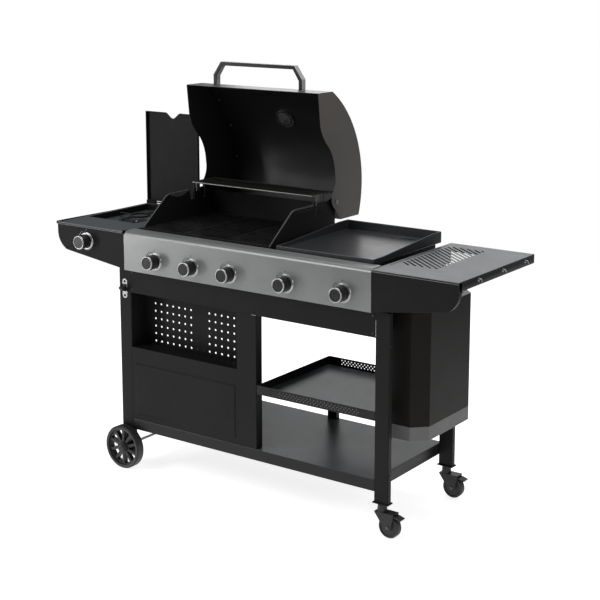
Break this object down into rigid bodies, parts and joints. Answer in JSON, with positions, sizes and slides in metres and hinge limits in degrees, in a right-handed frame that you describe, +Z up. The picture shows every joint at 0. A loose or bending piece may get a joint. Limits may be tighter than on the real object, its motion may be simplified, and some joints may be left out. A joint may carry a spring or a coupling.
{
  "type": "gas barbecue grill",
  "caption": "Gas barbecue grill on a wheeled cart, with a tipping hood, a griddle, a lidded side burner, turning knobs, an open storage cart and a side bin.",
  "frame": {"origin": "on the floor under the middle of the grill, with its hood and side lid open", "axes": "+Z up, -Y towards the cook at the control panel, +X towards the right shelf"},
  "size_m": [1.705, 0.6664, 1.477],
  "materials": {
    "black_coat": "satin black powder coat",
    "grey_coat": "satin grey powder coat",
    "silver_coat": "satin silver-grey coat",
    "hood_enamel": "satin dark grey enamel",
    "firebox_enamel": "matt black heat-proof enamel",
    "cast_iron": "seasoned black cast iron",
    "steel_wire": "dull plated wire",
    "bright_steel": "brushed",
    "gauge_steel": "polished rim with a dark dial",
    "handle_coat": "satin grey",
    "brass": "machined",
    "knob_plastic": "satin black",
    "wheel_plastic": "moulded black",
    "castor_steel": "black passivated",
    "castor_rubber": "moulded tread",
    "brake_plastic": "moulded black"
  },
  "bodies": {
    "cart": {"axle": "bright_steel", "bottle_opener": "bright_steel", "bottom_shelf": "grey_coat", "burner_tubes": "bright_steel", "burner_well": "grey_coat", "cabinet_front": "black_coat", "control_panel": "silver_coat", "cooking_grates": "cast_iron", "firebox_side_left": "firebox_enamel", "firebox_side_right": "firebox_enamel", "firebox_tub": "firebox_enamel", "flame_tamers": "firebox_enamel", "frame_screws": "castor_steel", "front_apron": "black_coat", "gas_manifold": "brass", "griddle_box": "firebox_enamel", "griddle_plate": "cast_iron", "hood_pins": "bright_steel", "knob_bezels": "bright_steel", "left_fascia": "black_coat", "left_shelf": "grey_coat", "leg_front_left": "black_coat", "leg_front_right": "black_coat", "leg_rear_left": "black_coat", "leg_rear_right": "black_coat", "middle_tray": "grey_coat", "niche_liner": "black_coat", "pegboard": "black_coat", "rear_mid_post": "black_coat", "right_fascia": "black_coat", "right_shelf": "grey_coat", "side_bin": "black_coat", "side_burner": "cast_iron", "side_lid_rod": "black_coat", "side_trivet": "cast_iron", "top_frame": "black_coat", "utensil_hooks": "steel_wire", "warming_rack": "steel_wire", "wheel_caps": "wheel_plastic"},
    "hood": {"hood_shell": "hood_enamel", "hood_side_left": "hood_enamel", "hood_side_right": "hood_enamel", "hood_thermometer": "gauge_steel", "hood_handle": "handle_coat"},
    "side_lid": {"side_lid": "black_coat"},
    "wheel_front": {"wheel_front": "wheel_plastic"},
    "wheel_rear": {"wheel_rear": "wheel_plastic"},
    "grease_tray": {"grease_tray": "bright_steel"},
    "castor_front": {"castor_front_fork": "castor_steel"},
    "castor_front_wheel": {"castor_front_wheel": "castor_rubber"},
    "castor_front_brake": {"castor_front_brake": "brake_plastic"},
    "castor_rear": {"castor_rear_fork": "castor_steel"},
    "castor_rear_wheel": {"castor_rear_wheel": "castor_rubber"},
    "castor_rear_brake": {"castor_rear_brake": "brake_plastic"},
    "knob_1": {"knob_1": "knob_plastic"},
    "knob_2": {"knob_2": "knob_plastic"},
    "knob_3": {"knob_3": "knob_plastic"},
    "knob_4": {"knob_4": "knob_plastic"},
    "knob_5": {"knob_5": "knob_plastic"},
    "side_knob": {"side_knob": "knob_plastic"}
  },
  "joints": [
    {"name": "hood_hinge", "type": "hinge", "parent": "cart", "child": "hood", "pos_m": [-0.2155, 0.16875, 0.994], "axis": [1, 0, 0], "range_deg": [0, 90]},
    {"name": "side_lid_hinge", "type": "hinge", "parent": "cart", "child": "side_lid", "pos_m": [-0.7135, 0.20275, 0.897], "axis": [1, 0, 0], "range_deg": [0, 90]},
    {"name": "wheel_front_spin", "type": "hinge", "parent": "cart", "child": "wheel_front", "pos_m": [-0.5495, -0.28225, 0.08], "axis": [0, 1, 0], "continuous": true},
    {"name": "wheel_rear_spin", "type": "hinge", "parent": "cart", "child": "wheel_rear", "pos_m": [-0.5495, 0.19975, 0.08], "axis": [0, 1, 0], "continuous": true},
    {"name": "grease_tray_slide", "type": "slide", "parent": "cart", "child": "grease_tray", "axis": [0, 1, 0], "range_m": [0, 0.28]},
    {"name": "knob_1_turn", "type": "hinge", "parent": "cart", "child": "knob_1", "pos_m": [-0.38, -0.29125, 0.799], "axis": [0, -1, 0], "range_deg": [0, 135]},
    {"name": "knob_2_turn", "type": "hinge", "parent": "cart", "child": "knob_2", "pos_m": [-0.213, -0.29125, 0.799], "axis": [0, -1, 0], "range_deg": [0, 135]},
    {"name": "knob_3_turn", "type": "hinge", "parent": "cart", "child": "knob_3", "pos_m": [-0.047, -0.29125, 0.799], "axis": [0, -1, 0], "range_deg": [0, 135]},
    {"name": "knob_4_turn", "type": "hinge", "parent": "cart", "child": "knob_4", "pos_m": [0.19, -0.29125, 0.799], "axis": [0, -1, 0], "range_deg": [0, 135]},
    {"name": "knob_5_turn", "type": "hinge", "parent": "cart", "child": "knob_5", "pos_m": [0.415, -0.29125, 0.799], "axis": [0, -1, 0], "range_deg": [0, 135]},
    {"name": "side_knob_turn", "type": "hinge", "parent": "cart", "child": "side_knob", "pos_m": [-0.708, -0.29125, 0.834], "axis": [0, -1, 0], "range_deg": [0, 135]},
    {"name": "castor_front_swivel", "type": "hinge", "parent": "cart", "child": "castor_front", "pos_m": [0.5495, -0.25125, 0.1], "axis": [0, 0, 1], "continuous": true},
    {"name": "castor_front_roll", "type": "hinge", "parent": "castor_front", "child": "castor_front_wheel", "pos_m": [0.5795, -0.25125, 0.0375], "axis": [0, 1, 0], "continuous": true},
    {"name": "castor_front_brake_press", "type": "hinge", "parent": "castor_front", "child": "castor_front_brake", "pos_m": [0.5955, -0.25125, 0.076], "axis": [0, 1, 0], "range_deg": [0, 15]},
    {"name": "castor_rear_swivel", "type": "hinge", "parent": "cart", "child": "castor_rear", "pos_m": [0.5495, 0.16875, 0.1], "axis": [0, 0, 1], "continuous": true},
    {"name": "castor_rear_roll", "type": "hinge", "parent": "castor_rear", "child": "castor_rear_wheel", "pos_m": [0.5795, 0.16875, 0.0375], "axis": [0, 1, 0], "continuous": true},
    {"name": "castor_rear_brake_press", "type": "hinge", "parent": "castor_rear", "child": "castor_rear_brake", "pos_m": [0.5955, 0.16875, 0.076], "axis": [0, 1, 0], "range_deg": [0, 15]}
  ]
}
